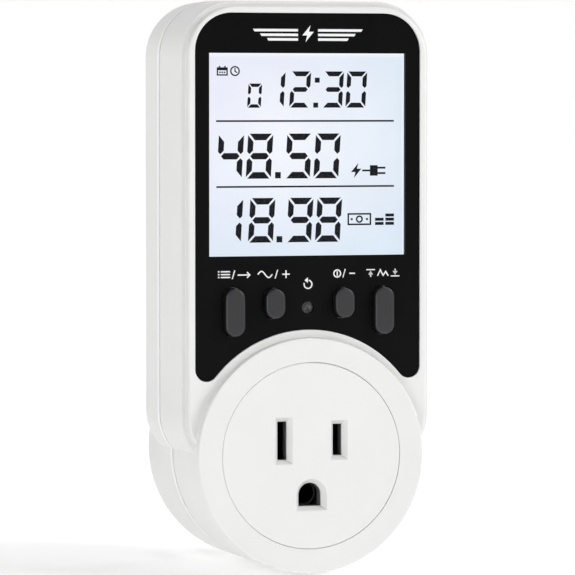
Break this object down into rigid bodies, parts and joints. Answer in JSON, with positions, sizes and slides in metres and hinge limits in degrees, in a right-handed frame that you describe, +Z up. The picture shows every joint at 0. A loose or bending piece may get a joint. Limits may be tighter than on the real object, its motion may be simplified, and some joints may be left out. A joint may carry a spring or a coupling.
{
  "type": "plug in power meter",
  "caption": "Plug-in electricity usage meter: grounded wall plug behind, grounded outlet in front, lit display and sprung keys in a black panel.",
  "frame": {"origin": "centre of the round plug boss, on the face that rests against the wall outlet", "axes": "+X to the right of a user facing the meter, +Y into the wall along the blades, +Z up along the length of the body"},
  "size_m": [0.0576, 0.061, 0.1254],
  "materials": {
    "shell_white": "fine satin moulded ABS",
    "insert_white": "smooth moulded thermoset",
    "panel_black": "semi-gloss moulded",
    "window_clear": "clear polished acrylic",
    "lcd_glass": "lit liquid crystal cell",
    "key_rubber": "satin moulded silicone and ABS",
    "key_black": "satin",
    "carbon_pill": "conductive carbon silicone",
    "mat_grey": "matte silicone",
    "frame_white": "matte",
    "strip_pink": "elastomer",
    "guide_clear": "polished acrylic",
    "reflector_white": "matte film",
    "led_white": "moulded package",
    "board_green": "solder resist",
    "board_tan": "paper laminate",
    "chip_black": "moulded epoxy",
    "steel": "plated",
    "nickel": "bright plated",
    "tinned_contact": "dull tin plated",
    "brass_bright": "polished",
    "shunt_alloy": "dull strip",
    "carrier_dark": "moulded thermoset",
    "cap_red": "dipped",
    "cap_blue": "dipped",
    "cap_sleeve": "sleeved can",
    "battery_green": "sleeved cells",
    "fuse_glass": "clear tube with plated ends",
    "diode_black": "moulded",
    "wire_red": "insulated",
    "wire_white": "insulated",
    "header_black": "moulded",
    "actuator_red": "moulded"
  },
  "bodies": {
    "housing": {"front_shell": "shell_white", "rear_shell": "shell_white", "front_panel": "panel_black", "display_window": "window_clear", "lcd_glass": "lcd_glass", "lcd_frame": "frame_white", "zebra_strip": "strip_pink", "light_guide": "guide_clear", "reflector_sheet": "reflector_white", "backlight_leds": "led_white", "keypad_mat": "mat_grey", "reset_switch": "steel", "display_board": "board_green", "controller_chip": "chip_black", "crystal": "nickel", "header_socket": "header_black", "header_base": "header_black", "header_pins": "brass_bright", "power_board": "board_tan", "metering_chip": "chip_black", "backup_battery": "battery_green", "battery_clip": "nickel", "film_capacitor": "cap_red", "electrolytic_capacitor": "cap_sleeve", "varistor": "cap_blue", "fuse": "fuse_glass", "diodes": "diode_black", "outlet_insert": "insert_white", "contact_carrier": "carrier_dark", "line_contact": "tinned_contact", "neutral_contact": "tinned_contact", "ground_contact": "tinned_contact", "line_blade": "nickel", "neutral_blade": "nickel", "ground_pin": "nickel", "current_shunt": "shunt_alloy", "blade_rivets": "nickel", "line_lead": "wire_red", "neutral_lead": "wire_white", "case_screws": "steel", "display_board_screws": "steel", "power_board_screws": "steel", "carrier_screws": "steel"},
    "select": {"select_key": "key_rubber", "select_pill": "carbon_pill"},
    "plus": {"plus_key": "key_rubber", "plus_pill": "carbon_pill"},
    "minus": {"minus_key": "key_rubber", "minus_pill": "carbon_pill"},
    "record": {"record_key": "key_rubber", "record_pill": "carbon_pill"},
    "reset": {"reset_key": "key_black", "reset_actuator": "actuator_red"}
  },
  "joints": [
    {"name": "select_press", "type": "slide", "parent": "housing", "child": "select", "axis": [0, 1, 0], "range_m": [0, 0.001], "stiffness_N_per_m": 1200, "springref_m": -0.0003},
    {"name": "plus_press", "type": "slide", "parent": "housing", "child": "plus", "axis": [0, 1, 0], "range_m": [0, 0.001], "stiffness_N_per_m": 1200, "springref_m": -0.0003},
    {"name": "minus_press", "type": "slide", "parent": "housing", "child": "minus", "axis": [0, 1, 0], "range_m": [0, 0.001], "stiffness_N_per_m": 1200, "springref_m": -0.0003},
    {"name": "record_press", "type": "slide", "parent": "housing", "child": "record", "axis": [0, 1, 0], "range_m": [0, 0.001], "stiffness_N_per_m": 1200, "springref_m": -0.0003},
    {"name": "reset_press", "type": "slide", "parent": "housing", "child": "reset", "axis": [0, 1, 0], "range_m": [0, 0.0003], "stiffness_N_per_m": 2500, "springref_m": -0.0001}
  ]
}
